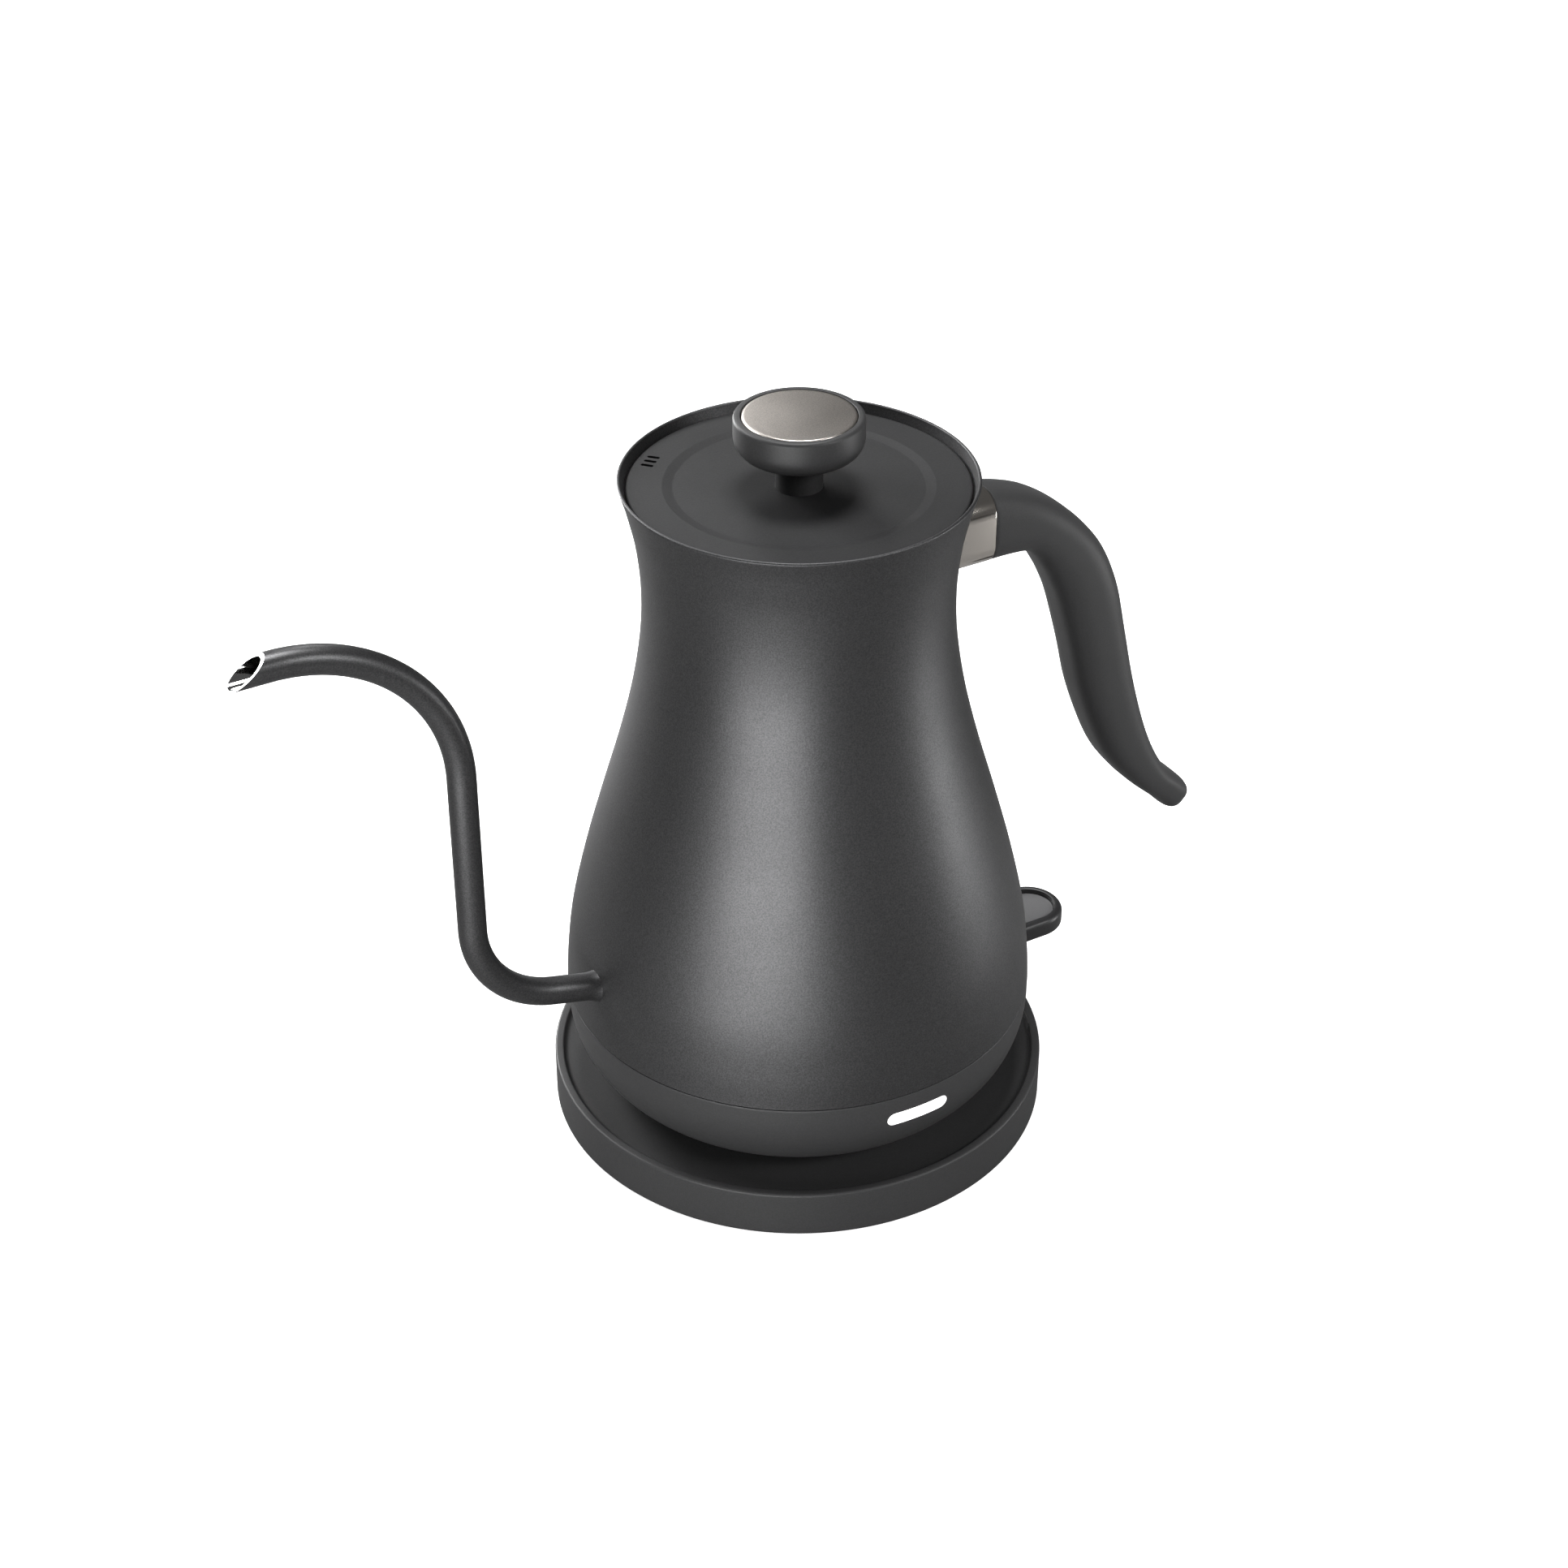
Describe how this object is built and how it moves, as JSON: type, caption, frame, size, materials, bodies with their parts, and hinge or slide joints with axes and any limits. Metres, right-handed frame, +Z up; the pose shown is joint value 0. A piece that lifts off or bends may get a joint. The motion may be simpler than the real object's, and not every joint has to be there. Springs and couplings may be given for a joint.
{
  "type": "electric gooseneck kettle",
  "caption": "Pear-shaped electric kettle with a thin gooseneck spout, open J-shaped handle and knobbed lid, on a round power base it lifts off and turns on.",
  "frame": {"origin": "on the table, under the axis of the kettle and its base", "axes": "+Z up, the spout points along -X, the handle and switch lever along +X, the lamp window along -Y"},
  "size_m": [0.3005, 0.1476, 0.222],
  "materials": {
    "coated_steel": "satin powder coat",
    "grey_plastic": "fine matte",
    "dark_plastic": "fine matte",
    "soft_grip": "soft touch",
    "nickel_bright": "polished",
    "nickel_satin": "bead blasted satin",
    "steel": "brushed",
    "aluminium": "as rolled",
    "brass": "bright",
    "rubber": "matte",
    "control_plastic": "moulded",
    "lamp_white": "diffusing, lit",
    "clear_plastic": "clear",
    "smoky_lens": "smoky clear",
    "circuit_board": "lacquered",
    "lead_red": "silicone sleeve"
  },
  "bodies": {
    "power_base": {"base_housing": "grey_plastic", "base_cover": "dark_plastic", "base_foot_ring": "rubber", "base_screws": "steel", "cord_gland": "rubber", "connector_body": "control_plastic", "connector_contacts": "brass", "connector_screws": "steel", "terminal_tabs": "brass"},
    "drip_ring": {"coupling_seal": "rubber"},
    "kettle": {"body_shell": "coated_steel", "vessel_floor": "steel", "floor_studs": "steel", "spout_tube": "coated_steel", "steam_tube": "steel", "heat_spreader": "aluminium", "heating_element": "steel", "base_skirt": "grey_plastic", "skirt_screws": "steel", "light_window": "lamp_white", "light_guide": "clear_plastic", "led_board": "circuit_board", "led_leads": "lead_red", "control_housing": "control_plastic", "coupling_pin": "brass", "coupling_rings": "brass", "thermostat_disc": "steel", "control_terminals": "brass", "control_screws": "steel", "switch_bracket": "control_plastic", "switch_pivot": "steel", "steam_disc": "steel", "handle_bracket": "steel", "handle_collar": "nickel_bright", "handle_grip": "soft_grip", "handle_screw": "steel"},
    "switch": {"switch_lever": "dark_plastic", "switch_lens": "smoky_lens"},
    "lid": {"lid_cover": "grey_plastic", "lid_liner": "steel", "lid_gasket": "rubber", "lid_knob": "grey_plastic", "knob_cap": "nickel_satin", "knob_screw": "steel"}
  },
  "joints": [
    {"name": "kettle_lift", "type": "slide", "parent": "power_base", "child": "drip_ring", "axis": [0, 0, 1], "range_m": [0, 0.06]},
    {"name": "kettle_swivel", "type": "hinge", "parent": "drip_ring", "child": "kettle", "pos_m": [0, 0, 0.0145], "axis": [0, 0, 1], "continuous": true},
    {"name": "switch_rock", "type": "hinge", "parent": "kettle", "child": "switch", "pos_m": [0.058, 0, 0.0315], "axis": [0, -1, 0], "range_deg": [0, 12]},
    {"name": "lid_lift", "type": "slide", "parent": "kettle", "child": "lid", "axis": [0, 0, 1], "range_m": [0, 0.04]}
  ]
}
